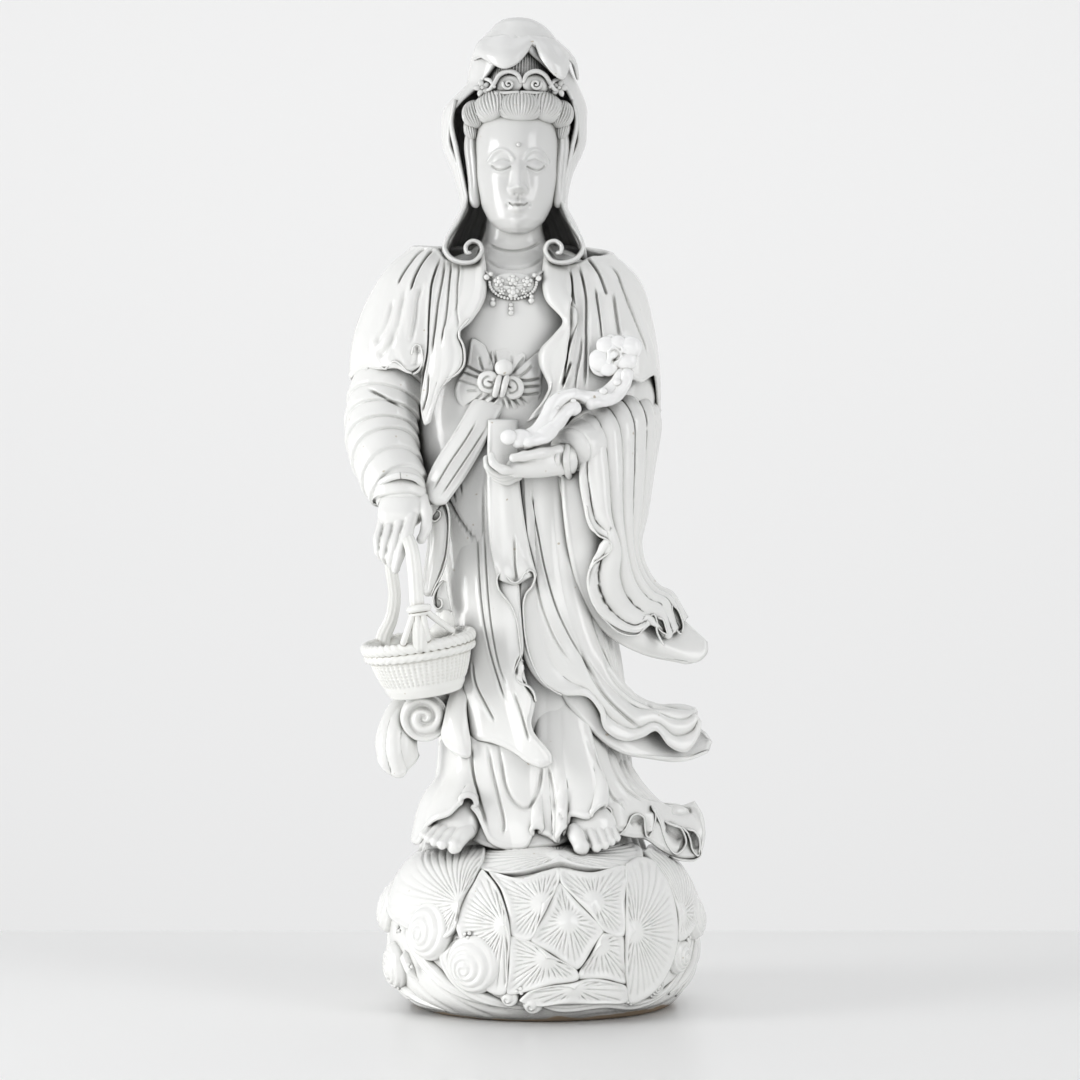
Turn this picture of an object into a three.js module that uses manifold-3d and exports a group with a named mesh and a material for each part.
// A standing robed figure in white glazed porcelain, with a veil, a basket and a sceptre,
// made in one with the mound of lotus leaves and waves under its feet.
// +Z is up, the figure faces -Y, and the origin is the middle of the mound's flat underside.
import * as THREE from "three";
import { mergeVertices } from "three/addons/utils/BufferGeometryUtils.js";
import Module from "manifold-3d";

// Driving sizes in millimetres.
const total_height = 610;
const mound_height = 93;
const mound_foot_radius = 80;
const leaf_relief = 3;
const basket_width = 64;
const basket_depth = 48;
const basket_height = 35;
const basket_wall = 2.6;
const handle_strap = 11;
const sceptre_thickness = 9;
const rest_gap = 0.35;

// The pose and the carving are laid out in modules, so many to the mound and so many to the figure.
const mound_count = 150;
const figure_count = 833;
const mm = (total_height - mound_height) / figure_count;
const mound_top = mound_count;

const wasm = await Module();
wasm.setup();

const TURN = 2 * Math.PI;

function closed(geometry) {
  geometry.deleteAttribute("normal");
  geometry.deleteAttribute("uv");
  const merged = mergeVertices(geometry, 1e-3);
  const triVerts = new Uint32Array(merged.index.array);
  const vertProperties = merged.attributes.position.array;
  const made = new wasm.Manifold(new wasm.Mesh({ numProp: 3, vertProperties, triVerts }));
  if (made.volume() > 0) return made;
  for (let i = 0; i < triVerts.length; i += 3) {
    [triVerts[i + 1], triVerts[i + 2]] = [triVerts[i + 2], triVerts[i + 1]];
  }
  return new wasm.Manifold(new wasm.Mesh({ numProp: 3, vertProperties, triVerts }));
}

function movedBy(geometry, place) {
  const position = geometry.attributes.position;
  const point = new THREE.Vector3();
  for (let i = 0; i < position.count; i += 1) {
    point.fromBufferAttribute(position, i);
    const moved = place(point);
    position.setXYZ(i, moved.x, moved.y, moved.z);
  }
  return closed(geometry);
}

function joined(solids) {
  let whole = solids[0];
  for (const solid of solids.slice(1)) whole = whole.add(solid);
  return whole;
}

// Where forms meet they can close round a pocket of air: only the largest outer shell is kept.
function withoutPockets(solid) {
  const shells = solid.decompose().sort((a, b) => b.volume() - a.volume());
  return shells[0];
}

const vector = ([x, y, z]) => new THREE.Vector3(x, y, z);
const curveThrough = (points) => new THREE.CatmullRomCurve3(points.map(vector));
const clamped = (t) => Math.min(1, Math.max(0, t));

// A body of level sections: each row is [height, middle x, middle y, half width, half depth].
function levelBody(rows, around, along, carve = () => 0) {
  const middles = curveThrough(rows.map(([z, x, y]) => [x, y, z]));
  const halves = curveThrough(rows.map(([, , , a, b]) => [a, b, 0]));
  const blank = new THREE.CylinderGeometry(1, 1, 1, around, along);
  return movedBy(blank, (p) => {
    const t = clamped(p.y + 0.5);
    const reach = Math.hypot(p.x, p.z);
    const angle = Math.atan2(p.x, p.z);
    const middle = middles.getPoint(t);
    const half = halves.getPoint(t);
    const out = reach * (1 + carve(angle, t, middle.z));
    return new THREE.Vector3(
      middle.x + half.x * out * Math.sin(angle),
      middle.y - half.y * out * Math.cos(angle),
      middle.z,
    );
  });
}

// A limb or stem along a curve: each row is [x, y, z, half width, half thickness].
function limb(rows, around, along, carve = () => 0, side_hint = [1, 0, 0]) {
  const path = curveThrough(rows);
  const halves = curveThrough(rows.map(([, , , a, b]) => [a, b ?? a, 0]));
  const hint = vector(side_hint);
  const blank = new THREE.CylinderGeometry(1, 1, 1, around, along);
  return movedBy(blank, (p) => {
    const t = clamped(p.y + 0.5);
    const reach = Math.hypot(p.x, p.z);
    const angle = Math.atan2(p.x, p.z);
    const middle = path.getPoint(t);
    const half = halves.getPoint(t);
    const ahead = path.getTangent(t);
    const face = new THREE.Vector3().crossVectors(ahead, hint).normalize();
    const side = new THREE.Vector3().crossVectors(face, ahead).normalize();
    const out = reach * (1 + carve(angle, t));
    return middle
      .addScaledVector(side, half.x * out * Math.sin(angle))
      .addScaledVector(face, half.y * out * Math.cos(angle));
  });
}

// A sheet of cloth between rails that run the way its folds run, with a real thickness.
function cloth(rails, across, along, { thick, folds, deep, grow = (v) => v }) {
  const curves = rails.map(curveThrough);
  const at = (u, v) => {
    const row = new THREE.CatmullRomCurve3(curves.map((curve) => curve.getPoint(clamped(v))));
    return row.getPoint(clamped(u));
  };
  const step = 0.01;
  const blank = new THREE.BoxGeometry(1, 1, 1, across, along, 1);
  return movedBy(blank, (p) => {
    const u = p.x + 0.5;
    const v = p.y + 0.5;
    const du = at(Math.min(1, u + step), v).sub(at(Math.max(0, u - step), v));
    const dv = at(u, Math.min(1, v + step)).sub(at(u, Math.max(0, v - step)));
    const out = new THREE.Vector3().crossVectors(dv, du).normalize();
    const fold = deep * grow(v) * Math.sin(TURN * folds * u);
    return at(u, v).addScaledVector(out, fold + p.z * thick);
  });
}

// A rounded form set on its middle, turned about the upright and then leaned.
function pebble([x, y, z], [a, b, c], around = 6, rings = 4, turn = 0, lean = 0) {
  const blank = new THREE.SphereGeometry(1, around, rings);
  const pose = new THREE.Matrix4()
    .makeRotationZ(turn)
    .multiply(new THREE.Matrix4().makeRotationX(lean))
    .multiply(new THREE.Matrix4().makeScale(a, b, c));
  return movedBy(blank, (p) => vector([x, y, z]).add(p.applyMatrix4(pose)));
}

// A rolled scroll seen from its open end: a coil of cloth or water that winds inwards and rises.
function scroll([x, y, z], radius, deep, { turns = 1.6, facing = 0, start = 0, hand = 1 } = {}) {
  const rows = [];
  const steps = 6;
  const around = 4;
  for (let i = 0; i <= steps; i += 1) {
    const t = i / steps;
    const angle = start + hand * t * turns * TURN;
    const reach = radius * (1 - 0.82 * t) * 0.84;
    const across = reach * Math.cos(angle);
    const rise = 0.3 * deep * t;
    rows.push([
      x + across * Math.cos(facing) + rise * Math.sin(facing),
      y + across * Math.sin(facing) - rise * Math.cos(facing),
      z + reach * Math.sin(angle),
      radius * (0.2 - 0.06 * t),
      0.5 * deep,
    ]);
  }
  const inward = [-Math.sin(facing), Math.cos(facing), 0.01];
  return limb(rows, around, steps, () => 0, inward);
}

// The mound: a turned body, flat below, laid out in modules and then brought to its own sizes.
const mound_profile = [
  [0, 0],
  [129, 0],
  [146, 22],
  [152, 62],
  [147, 106],
  [128, 140],
  [104, mound_top],
  [0, mound_top],
];
const foot_share = mound_foot_radius / mm / mound_profile[1][0];
const rise_share = mound_height / mm / mound_top;
const mound_sides = 16;

function moundRadius(height) {
  const rim = mound_profile.findIndex(([, z], i) => i > 1 && z >= height);
  const [r0, z0] = mound_profile[rim - 1];
  const [r1, z1] = mound_profile[rim];
  return r0 + ((r1 - r0) * (height - z0)) / (z1 - z0);
}

function moundBody() {
  const outline = mound_profile.map(([r, z]) => new THREE.Vector2(r, z));
  return closed(new THREE.LatheGeometry(outline, mound_sides).rotateX(Math.PI / 2));
}

const leaf_points = 6;

// A lotus leaf on the mound: a many sided disc, bent round the mound, with a raised middle and a lip.
function leaf(azimuth, height, wide, high, tilt) {
  const lift = leaf_relief / mm;
  const blank = new THREE.CylinderGeometry(1, 1, 1, leaf_points, 1);
  return movedBy(blank, (p) => {
    const reach = Math.hypot(p.x, p.z);
    const angle = Math.atan2(p.x, p.z) + tilt;
    const pointed = 1 + 0.16 * Math.cos(2 * (angle - tilt));
    const across = reach * pointed * wide * Math.sin(angle);
    const up = reach * pointed * high * Math.cos(angle);
    const z = Math.min(Math.max(height + up, 3), mound_top - 4);
    const base = moundRadius(z);
    const edge = reach > 0.5 ? lift * 1.3 : lift * 0.7;
    const r = p.y > 0 ? base + edge : base - 12;
    const around = azimuth + across / base;
    return new THREE.Vector3(r * Math.sin(around), -r * Math.cos(around), z);
  });
}

const degrees = (angle) => (angle * Math.PI) / 180;

function moundLeaves() {
  const front = [
    [7, 82, 42, 46],
    [-12, 108, 44, 32],
    [30, 104, 42, 36],
    [42, 70, 36, 40],
    [26, 50, 42, 34],
    [-47, 92, 46, 48],
    [62, 88, 34, 50],
  ];
  const solids = front.map(([a, z, w, h], i) => leaf(degrees(a), z, w, h, 0.12 * (i % 3)));
  const back_leaves = 3;
  for (let i = 0; i < back_leaves; i += 1) {
    solids.push(leaf(degrees(120 + 60 * i), 80, 56, 48, 0.1 * i));
  }
  return solids;
}

function moundWaves() {
  const coils = [
    [-44, 66, 20],
    [-26, 38, 26],
    [-72, 70, 20],
    [70, 40, 22],
    [-120, 40, 26],
  ];
  return coils.map(([a, z, size], i) => {
    const turn = degrees(a);
    const r = moundRadius(z) + 1;
    const middle = [r * Math.sin(turn), -r * Math.cos(turn), z];
    return scroll(middle, size, 20, { facing: turn, start: i, hand: i % 2 ? 1 : -1 });
  });
}

// The robe from the hem to the neck, with long folds that deepen towards the hem.
function robe() {
  const rows = [
    [mound_top - 4, -10, 6, 112, 82],
    [178, -11, 4, 103, 74],
    [215, -8, 0, 96, 66],
    [265, -8, -4, 90, 60],
    [330, -12, -6, 90, 58],
    [400, -18, -8, 86, 56],
    [470, -24, -8, 83, 54],
    [540, -32, -8, 84, 52],
    [600, -36, -6, 83, 46],
    [640, -36, -3, 80, 42],
    [690, -31, 2, 80, 43],
    [722, -28, 6, 84, 40],
    [742, -28, 9, 72, 32],
    [756, -28, 8, 36, 27],
    [766, -28, 4, 29, 26],
  ];
  const folds = (angle, t, z) => {
    const low = clamped((520 - z) / 330);
    const front = Math.cos(angle) > 0.2 ? 0.45 : 1;
    return front * low * 0.055 * Math.sin(11 * angle + 2.2 * low) + 0.03 * low * Math.sin(17 * angle + 1);
  };
  return levelBody(rows, 18, 10, folds);
}

// The robe's ends, blown to the figure's left: the upper skirt's tail, and the hem.
function trains() {
  const upper = [
    [[-8, -56, 520], [2, -60, 430], [30, -60, 345], [70, -44, 284], [115, -24, 250], [160, -12, 252]],
    [[16, -56, 525], [24, -64, 430], [52, -60, 350], [92, -46, 292], [132, -26, 266], [166, -12, 262]],
    [[44, -46, 530], [52, -52, 430], [70, -50, 360], [104, -36, 306], [140, -20, 280], [170, -6, 268]],
    [[58, -20, 535], [66, -24, 430], [76, -20, 352], [108, -10, 306], [142, -2, 296], [166, 6, 286]],
  ];
  const hem = [
    [[-6, -64, 300], [0, -72, 240], [16, -80, 190], [44, -80, 162], [84, -64, 150], [118, -44, 146]],
    [[20, -62, 310], [28, -70, 250], [48, -74, 200], [78, -64, 172], [112, -48, 160], [146, -34, 148]],
    [[50, -44, 320], [60, -54, 258], [78, -54, 208], [104, -46, 186], [134, -32, 176], [160, -22, 164]],
    [[68, -14, 320], [76, -18, 262], [90, -14, 218], [112, -10, 198], [140, -8, 194], [162, -6, 182]],
  ];
  const left_hem = [
    [[-58, -60, 300], [-64, -72, 240], [-72, -80, 205], [-84, -84, 186]],
    [[-78, -40, 300], [-86, -54, 240], [-100, -60, 205], [-112, -60, 176]],
    [[-88, -6, 300], [-96, -10, 236], [-114, -10, 206], [-126, -10, 162]],
  ];
  const style = { thick: 12, folds: 3, deep: 7, grow: (v) => 0.25 + 0.75 * v };
  return [
    cloth(upper, 5, 5, style),
    cloth(hem, 5, 5, style),
    cloth(left_hem, 4, 3, { ...style, folds: 2.5, deep: 5 }),
  ];
}

// The inner skirt between the feet, a long tongue of cloth, and the sash ends over it.
function frontCloths() {
  const tongue = [
    [[-58, -64, 330], [-42, -72, 275], [-28, -78, 246], [-14, -80, 236]],
    [[-40, -70, 380], [-22, -78, 300], [-8, -84, 262], [2, -86, 238]],
    [[-22, -66, 420], [-10, -74, 330], [2, -80, 282], [10, -82, 248]],
  ];
  const panel = [
    [[-52, -58, 545], [-50, -66, 500], [-44, -68, 455], [-40, -68, 428]],
    [[-38, -62, 545], [-34, -71, 500], [-26, -73, 455], [-24, -72, 422]],
    [[-24, -60, 545], [-20, -68, 500], [-10, -70, 455], [-6, -70, 424]],
  ];
  const inner = [
    [[-40, -60, 300], [-36, -70, 250], [-24, -80, 205], [-18, -84, 190]],
    [[-20, -62, 300], [-18, -74, 250], [-14, -84, 205], [-12, -88, 182]],
    [[0, -60, 300], [0, -70, 250], [0, -80, 205], [-4, -84, 190]],
  ];
  return [
    cloth(tongue, 4, 4, { thick: 9, folds: 1.5, deep: 5 }),
    cloth(panel, 3, 3, { thick: 8, folds: 1.5, deep: 3 }),
    cloth(inner, 3, 2, { thick: 9, folds: 2, deep: 3 }),
    limb([[-14, -70, 430, 7, 5], [-18, -70, 380, 8, 5], [-26, -76, 330, 11, 6], [-18, -82, 290, 9, 6]], 5, 4),
    pebble([-26, -82, 322], [8, 7, 6]),
  ];
}

// The mantle's edges, from the neck down to the waist, with a wave where the cloth turns over.
function lapels() {
  const right_side = [
    [[-92, -18, 735], [-96, -30, 700], [-98, -38, 660], [-100, -40, 620], [-104, -40, 596]],
    [[-76, -26, 742], [-80, -44, 706], [-82, -52, 662], [-92, -52, 630], [-100, -50, 600]],
    [[-56, -28, 742], [-56, -47, 705], [-72, -52, 676], [-74, -54, 646], [-96, -54, 616]],
  ];
  const left_side = [
    [[2, -28, 745], [2, -47, 705], [18, -54, 678], [-4, -54, 646], [-12, -56, 592]],
    [[24, -26, 742], [30, -42, 706], [30, -54, 672], [16, -56, 634], [0, -58, 600]],
    [[46, -14, 736], [56, -26, 700], [56, -40, 660], [46, -46, 620], [24, -52, 588]],
  ];
  const style = { thick: 8, folds: 2.5, deep: 2.5, grow: () => 1 };
  return [cloth(right_side, 4, 4, style), cloth(left_side, 4, 4, style)];
}

// The belt's bow and the sash that runs from it to the figure's right hip.
function belt() {
  const solids = [
    pebble([-37, -56, 630], [9, 8, 9]),
    pebble([-53, -52, 617], [15, 9, 9]),
    pebble([-28, -52, 612], [15, 9, 9]),
    limb([[-40, -52, 606, 5, 4], [-38, -56, 584, 6, 4], [-34, -58, 556, 7, 4]], 6, 3),
  ];
  const petals = 5;
  for (let i = 0; i < petals; i += 1) {
    const angle = (TURN * (i + 0.5)) / petals;
    const reach = 33;
    const dx = Math.sin(angle);
    const dz = Math.cos(angle);
    solids.push(
      limb(
        [
          [-40 + 8 * dx, -46, 616 + 8 * dz, 5, 4],
          [-40 + 0.65 * reach * dx, -48, 616 + 0.7 * reach * dz, 8, 4],
          [-40 + reach * dx, -44, 616 + reach * dz, 7, 4],
        ],
        4,
        2,
      ),
    );
  }
  const sash = [
    [[-44, -52, 584], [-68, -58, 550], [-92, -62, 518], [-108, -62, 494]],
    [[-54, -50, 590], [-84, -56, 562], [-104, -58, 530], [-118, -58, 504]],
  ];
  const ribbon = [
    [[-92, -52, 500], [-90, -58, 468], [-94, -58, 428], [-106, -54, 400]],
    [[-108, -44, 496], [-108, -48, 468], [-112, -48, 430], [-118, -46, 396]],
  ];
  return [
    ...solids,
    cloth(sash, 3, 3, { thick: 8, folds: 1.5, deep: 1.5, grow: () => 1 }),
    cloth(ribbon, 3, 3, { thick: 8, folds: 1, deep: 2 }),
    pebble([-104, -62, 487], [8, 6, 8]),
  ];
}

// The figure's right arm: a short cape, a sleeve pushed up in rings, and the cuff.
function rightArm() {
  const cape = [
    [-84, 8, 748, 22, 20],
    [-100, 6, 724, 36, 32],
    [-116, 2, 694, 46, 38],
    [-130, -2, 660, 48, 42],
    [-138, -6, 628, 44, 42],
    [-140, -8, 612, 24, 26],
  ];
  const sleeve = [
    [-146, -8, 630, 34, 34],
    [-157, -16, 590, 35, 35],
    [-158, -28, 560, 35, 34],
    [-150, -44, 532, 31, 29],
    [-141, -56, 514, 29, 26],
    [-139, -60, 502, 25, 22],
  ];
  const hanging = (angle, t) => 0.06 * t * Math.sin(7 * angle + 1);
  const rings = (angle, t) => 0.07 * Math.sin(TURN * (4.5 * t + 0.08 * Math.sin(angle)));
  return [limb(cape, 8, 4, hanging), limb(sleeve, 8, 12, rings)];
}

// A hand seen from its back: the palm, the fingers in turn from the first to the little one, the thumb.
function hand(palm, fingers, thumb, size) {
  const solids = [limb(palm, 6, 3)];
  for (const rows of fingers) {
    solids.push(limb(rows.map(([x, y, z], i) => [x, y, z, size * (1 - 0.13 * i)]), 4, 2));
  }
  solids.push(limb(thumb.map(([x, y, z], i) => [x, y, z, size * (1.15 - 0.12 * i)]), 4, 3));
  return solids;
}

function rightHand() {
  const palm = [
    [-138, -62, 520, 17, 14],
    [-139, -70, 506, 19, 13],
    [-140, -76, 490, 20, 12],
    [-142, -78, 476, 17, 10],
  ];
  const fingers = [];
  for (let i = 0; i < 4; i += 1) {
    const x = -130 - 9 * i;
    fingers.push([
      [x, -80, 486 - i],
      [x - 4, -92, 466 - 2 * i],
      [x - 6, -90, 446 - i],
      [x - 4, -78, 432 + 4 * i],
    ]);
  }
  const thumb = [
    [-124, -70, 504],
    [-113, -78, 488],
    [-113, -84, 472],
    [-117, -86, 456],
  ];
  return hand(palm, fingers, thumb, 6.2);
}

// The figure's left arm: the shoulder, the bent forearm, and the wide sleeve that hangs from it.
function leftArm() {
  const upper = [
    [30, 8, 748, 22, 20],
    [50, 8, 726, 34, 30],
    [68, 8, 690, 42, 36],
    [74, 6, 650, 42, 38],
    [72, 0, 610, 42, 40],
    [68, -6, 584, 38, 38],
  ];
  const forearm = [
    [78, -8, 578, 40, 34],
    [64, -34, 566, 36, 36],
    [44, -62, 556, 27, 32],
    [26, -84, 550, 20, 24],
    [19, -90, 548, 15, 18],
  ];
  const inner_edge = [[18, -84, 560], [20, -86, 520], [28, -80, 478], [46, -66, 418]];
  const inner_fold = [[44, -82, 580], [46, -84, 520], [52, -76, 470], [66, -62, 418]];
  const outer_fold = [[84, -56, 596], [84, -58, 520], [80, -56, 466], [86, -46, 424]];
  const outer_edge = [[110, -10, 588], [96, -14, 530], [89, -14, 480], [89, -10, 440]];
  const rear_edge = [[84, 22, 590], [74, 18, 530], [70, 12, 480], [78, 8, 440]];
  const sleeve = [
    [...inner_edge, [64, -50, 376], [98, -34, 352], [142, -20, 340]],
    [...inner_fold, [88, -48, 384], [122, -30, 366], [158, -14, 350]],
    [...outer_fold, [106, -34, 396], [136, -20, 384], [162, -6, 360]],
    [...outer_edge, [106, -4, 412], [134, 0, 402], [160, 6, 370]],
    [...rear_edge, [98, 8, 400], [126, 8, 372], [156, 6, 352]],
  ];
  const pleats = (angle, t) => 0.05 * Math.sin(5 * angle + 3 * t);
  return [
    limb(upper, 7, 3, pleats),
    limb(forearm, 7, 4, pleats, [0, 0, 1]),
    cloth(sleeve, 9, 5, { thick: 10, folds: 4, deep: 5 }),
  ];
}

function leftHand() {
  const palm = [
    [24, -90, 542, 13, 11],
    [8, -96, 540, 13, 10],
    [-8, -100, 539, 15, 8],
    [-20, -102, 538, 13, 6],
  ];
  const fingers = [];
  for (let i = 0; i < 4; i += 1) {
    const y = -112 + 7.5 * i;
    fingers.push([
      [-14, y, 538],
      [-26, y - 1, 536],
      [-37, y, 537],
      [-46, y + 1, 541],
    ]);
  }
  const thumb = [
    [4, -108, 546],
    [-8, -116, 549],
    [-20, -118, 550],
    [-31, -116, 551],
  ];
  return hand(palm, fingers, thumb, 5);
}

// Neck, head, long ear lobes, and the hair combed up in lobes to a topknot.
const head_middle = [-27, -12, 832];

function head() {
  const [hx, hy, hz] = head_middle;
  const skull = [
    [hz - 64, hx, hy - 18, 15, 17],
    [hz - 56, hx, hy - 14, 25, 27],
    [hz - 36, hx, hy - 6, 34, 38],
    [hz - 8, hx, hy, 40, 44],
    [hz + 18, hx, hy + 3, 41, 46],
    [hz + 40, hx, hy + 6, 36, 42],
    [hz + 58, hx, hy + 8, 20, 26],
  ];
  const neck = [
    [-28, 6, 744, 31, 30],
    [-28, 2, 762, 28, 27],
    [-27, -4, 790, 26, 26],
  ];
  const solids = [
    levelBody(skull, 10, 6),
    limb(neck, 8, 2),
    pebble([hx, hy - 44, hz - 18], [5, 8, 9]),
    pebble([hx, hy - 39, hz - 37], [8, 5, 4]),
  ];
  for (const side of [-1, 1]) {
    solids.push(pebble([hx + side * 42, hy - 2, hz - 12], [5, 9, 26], 5, 4));
    solids.push(pebble([hx + side * 14, hy - 36, hz + 2], [8, 5, 4], 5, 3));
  }
  return solids;
}

function hair() {
  const [hx, hy, hz] = head_middle;
  const crown = [
    [hz + 36, hx, hy + 4, 50, 46],
    [hz + 50, hx, hy + 2, 53, 50],
    [hz + 66, hx, hy + 4, 48, 46],
    [hz + 78, hx, hy + 8, 34, 34],
    [hz + 92, hx, hy + 10, 26, 26],
    [hz + 112, hx + 1, hy + 10, 28, 28],
    [hz + 134, hx + 2, hy + 12, 24, 24],
    [hz + 144, hx + 2, hy + 12, 10, 10],
  ];
  const lobes = 5;
  const combed = (angle, t) => (t < 0.5 ? 0.05 : 0) * Math.cos(lobes * angle);
  const solids = [levelBody(crown, 12, 5, combed)];
  for (const side of [-1, 1]) {
    solids.push(pebble([hx + side * 47, hy + 4, hz + 30], [11, 20, 14]));
    solids.push(scroll([hx + 1 + side * 13, hy - 38, hz + 84], 14, 10, { hand: side }));
    solids.push(pebble([hx + 2 + side * 37, hy - 28, hz + 82], [9, 5, 9]));
  }
  const browband = [
    [hx - 40, hy - 22, hz + 74, 4],
    [hx, hy - 40, hz + 72, 4],
    [hx + 42, hy - 22, hz + 72, 4],
  ];
  solids.push(limb(browband, 4, 5));
  return solids;
}

// The veil: a thick sheet over the topknot that falls behind the ears and turns out in two curls.
function veil() {
  const rows = [
    [983, -24, -6, 4, 4, 0.5],
    [978, -24, -4, 24, 24, 0.5],
    [962, -24, -2, 37, 40, 0.5],
    [940, -22, 2, 46, 46, 0.47],
    [916, -20, 4, 55, 50, 0.4],
    [890, -27, 6, 70, 56, 0.34],
    [862, -28, 8, 70, 58, 0.32],
    [828, -29, 8, 60, 56, 0.33],
    [798, -28, 8, 53, 50, 0.33],
    [776, -28, 10, 62, 50, 0.33],
    [752, -28, 16, 74, 48, 0.32],
    [716, -28, 24, 76, 38, 0.24],
  ];
  const middles = curveThrough(rows.map(([z, x, y]) => [x, y, z]));
  const spans = curveThrough(rows.map(([, , , a, b, half]) => [a, b, 100 * half]));
  const thick = 5;
  const blank = new THREE.BoxGeometry(1, 1, 1, 9, 6, 1);
  const solids = [
    movedBy(blank, (p) => {
      const t = clamped(0.5 - p.y);
      const middle = middles.getPoint(t);
      const span = spans.getPoint(t);
      const angle = p.x * 2 * TURN * (span.z / 100);
      const fold = 1.2 * Math.sin(9 * angle) * t;
      const out = fold + p.z * thick;
      return new THREE.Vector3(
        middle.x + (span.x + out) * Math.sin(angle),
        middle.y + (span.y + out) * Math.cos(angle),
        middle.z,
      );
    }),
  ];
  for (const side of [-1, 1]) {
    solids.push(pebble([-28 + side * 45, -36, 751], [13, 9, 12], 6, 3));
    solids.push(
      limb(
        [
          [-27 + side * 44, -18, 806, 6, 4],
          [-27 + side * 52, -26, 782, 8, 4],
          [-28 + side * 60, -32, 756, 12, 5],
          [-28 + side * 46, -34, 744, 10, 5],
        ],
        4,
        4,
      ),
    );
    solids.push(
      limb(
        [
          [-22, -34, 966, 8, 4],
          [-22 + side * 16, -38, 950, 14, 5],
          [-21 + side * 28, -36, 934, 12, 5],
          [-21 + side * 38, -26, 916, 7, 4],
        ],
        4,
        3,
      ),
    );
  }
  return solids;
}

function pendant() {
  const solids = [pebble([-29, -42, 713], [24, 5, 13], 8, 4)];
  const beads = 3;
  for (let i = 0; i < beads; i += 1) {
    const across = (i - (beads - 1) / 2) * 20;
    solids.push(pebble([-29 + across, -44, 700 + 0.03 * across * across], [3.5, 3.5, 3.5], 5, 3));
  }
  return solids;
}

// Bare feet on the mound, turned a little outwards: the instep, the great toe, the row of small toes.
function feet() {
  const solids = [];
  const ankle_y = -52;
  for (const [x, turn] of [[-84, -0.16], [50, 0.2]]) {
    const ahead = (d, s, z) => [
      x + d * Math.sin(turn) + s * Math.cos(turn),
      ankle_y - d * Math.cos(turn) + s * Math.sin(turn),
      z,
    ];
    const inner_side = -Math.sign(x);
    const instep = [
      [...ahead(-10, 0, 176), 25, 22],
      [...ahead(22, 0, 168), 26, 18],
      [...ahead(42, 0, 160), 26, 11],
    ];
    solids.push(
      limb(instep, 7, 2),
      pebble(ahead(48, 18 * inner_side, mound_top + 9), [8, 12, 9], 5, 3, turn),
      pebble(ahead(43, -6 * inner_side, mound_top + 7), [20, 12, 7], 6, 3, turn - 0.2 * inner_side),
    );
  }
  return solids;
}

// The scroll of robe that comes out under the basket, and the end of cloth that hangs by it.
function sideScroll() {
  const tail = [
    [[-76, -20, 326], [-104, -34, 290], [-126, -44, 258], [-146, -48, 226]],
    [[-84, -8, 350], [-118, -22, 318], [-150, -36, 286], [-164, -40, 246]],
  ];
  const drape = [
    [[-70, -58, 330], [-72, -66, 296], [-80, -72, 262], [-76, -74, 246]],
    [[-84, -46, 330], [-92, -54, 296], [-102, -60, 268], [-96, -62, 250]],
  ];
  const roll = [
    [-86, 4, 300, 18, 18],
    [-104, -26, 292, 20, 20],
    [-116, -58, 288, 22, 22],
  ];
  return [
    limb(roll, 6, 2, () => 0, [0, 0, 1]),
    scroll([-116, -62, 288], 24, 24, { turns: 1.7, start: 1.2 }),
    cloth(tail, 4, 3, { thick: 10, folds: 2, deep: 5 }),
    cloth(drape, 3, 3, { thick: 10, folds: 1.5, deep: 4 }),
  ];
}

// The basket: a woven bowl with a thick rim, a strap over it, and a rolled leaf that lies in it.
const basket_middle = [-121, -84, 368];
const basket_roll = degrees(8.5);
const basket_nod = degrees(7);

function basket(ease = 0) {
  const a = basket_width / 2 / mm + ease;
  const b = basket_depth / 2 / mm + ease;
  const h = basket_height / mm + ease;
  const wall = basket_wall / mm;
  const profile = [
    [0, -h],
    [0.66, -h],
    [0.72, -0.9 * h],
    [0.88, -0.6 * h],
    [0.97, -0.26 * h],
    [1, 0],
  ];
  const outline = [
    ...profile.map(([r, z]) => new THREE.Vector2(r * a, z)),
    new THREE.Vector2(a - wall, 0),
    ...profile
      .slice(1, -1)
      .reverse()
      .map(([r, z]) => new THREE.Vector2(r * a - wall, Math.max(z, -h + wall))),
    new THREE.Vector2(0, -h + wall),
  ];
  const bowl = closed(new THREE.LatheGeometry(outline, 12).rotateX(Math.PI / 2).scale(1, b / a, 1));
  const strap = handle_strap / 2 / mm + ease;
  const arch = [
    [2, -b + 1, -6, 0.9 * strap, 3],
    [4, -b - 2, 16, 1.1 * strap, 4],
    [2, -b + 4, 40, 0.85 * strap, 3.5],
    [-2, -10, 78, 0.75 * strap, 3.5],
    [-10, 2, 92, 0.7 * strap, 3.5],
    [-20, 14, 78, 0.7 * strap, 3.5],
    [-30, 20, 40, 0.8 * strap, 3.5],
    [-36, 22, -4, 0.9 * strap, 3],
  ];
  const eased = arch.map(([x, y, z, w, t]) => [x, y, z, w, t + ease]);
  const solids = [bowl, limb(eased, 4, 9)];
  for (const side of [-1, 1]) {
    const strand = [
      [3, -b - 1, 24, 4.5, 3],
      [3 + side * 0.23 * a, -0.97 * b, 10, 4.5, 3],
      [3 + side * 0.43 * a, -0.9 * b, -5, 4, 3],
    ];
    if (ease === 0) solids.push(limb(strand, 4, 2));
  }
  const rolled_leaf = [0.21 * a, 0.18 * b, 0.27 * h];
  if (ease === 0) solids.push(pebble([0.6 * a, 0.3 * b, 0.1 * h], rolled_leaf, 6, 4, 0.4));
  const pose = new THREE.Matrix4()
    .makeTranslation(...basket_middle)
    .multiply(new THREE.Matrix4().makeRotationY(-basket_roll))
    .multiply(new THREE.Matrix4().makeRotationX(basket_nod));
  return withoutPockets(joined(solids)).transform(pose.elements);
}

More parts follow.
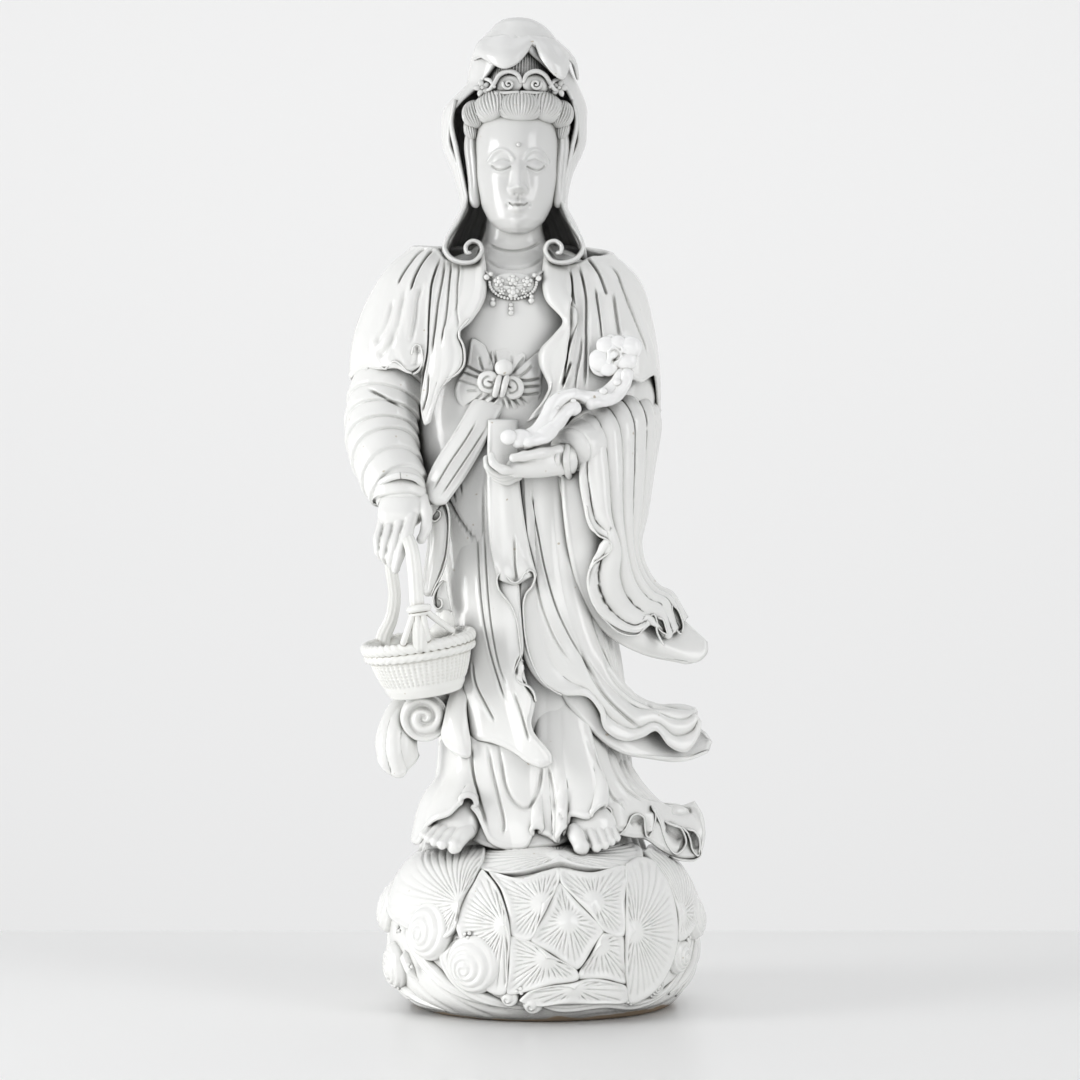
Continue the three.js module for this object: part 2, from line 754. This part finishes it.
// The sceptre: a knotty stem that rises out of the palm to a head of rolled clouds.
function sceptre(ease = 0) {
  const thick = sceptre_thickness / 2 / mm + ease;
  const stem = [
    [-36, -108, 560, 1.1 * thick, thick],
    [-22, -106, 554, thick, 0.9 * thick],
    [-4, -104, 568, 1.4 * thick, 1.1 * thick],
    [12, -98, 590, 1.35 * thick, thick],
    [30, -90, 602, 1.15 * thick, thick],
    [52, -84, 604, 1.1 * thick, thick],
    [72, -78, 618, thick, thick],
    [80, -72, 638, 0.8 * thick, 0.8 * thick],
  ];
  const knots = (angle, t) => 0.13 * Math.sin(13 * TURN * 0.5 * t + Math.sin(3 * angle));
  const cap = [20, 9, 17];
  const solids = [limb(stem, 4, 10, knots), pebble([74, -73, 640], cap)];
  const rolls = 5;
  for (let i = 0; i < rolls; i += 1) {
    const angle = (TURN * i) / rolls + 0.3;
    solids.push(pebble([72 + 15 * Math.sin(angle), -76, 643 + 11 * Math.cos(angle)], [9, 6, 8], 5, 3));
  }
  return withoutPockets(joined(solids));
}

const foot_plane = closed(new THREE.BoxGeometry(600, 600, 200).translate(0, 0, -100));

const mound_solid = joined([moundBody(), ...moundLeaves(), ...moundWaves()])
  .subtract(foot_plane)
  .scale([foot_share, foot_share, rise_share]);

const standing_solids = [
  robe(),
  ...trains(),
  ...frontCloths(),
  ...lapels(),
  ...belt(),
  ...rightArm(),
  ...rightHand(),
  ...leftArm(),
  ...leftHand(),
  ...head(),
  ...hair(),
  ...veil(),
  ...pendant(),
  ...feet(),
  ...sideScroll(),
];

// What rests on the figure keeps a small gap: the figure is cut back by a slightly larger copy of it.
const gap = rest_gap / mm;
const on_mound = [0, 0, mound_height / mm - mound_top];
const standing_solid = joined(standing_solids)
  .subtract(basket(gap))
  .subtract(sceptre(gap))
  .translate(on_mound);
const figure_solid = withoutPockets(mound_solid.add(standing_solid));

function meshOf(solid, name, colour, roughness) {
  const { vertProperties, triVerts } = solid.scale(mm).getMesh();
  const geometry = new THREE.BufferGeometry();
  geometry.setAttribute("position", new THREE.BufferAttribute(new Float32Array(vertProperties), 3));
  geometry.setIndex(new THREE.BufferAttribute(new Uint32Array(triVerts), 1));
  const glaze = new THREE.MeshStandardMaterial({ color: colour, roughness, metalness: 0 });
  const mesh = new THREE.Mesh(geometry, glaze);
  mesh.name = name;
  return mesh;
}

const group = new THREE.Group();
group.add(meshOf(figure_solid, "guanyin_figure", 0xe6e6e2, 0.22));
group.add(meshOf(basket().translate(on_mound), "basket", 0xeeeee9, 0.25));
group.add(meshOf(sceptre().translate(on_mound), "ruyi_sceptre", 0xf4f4f0, 0.15));

export default group;
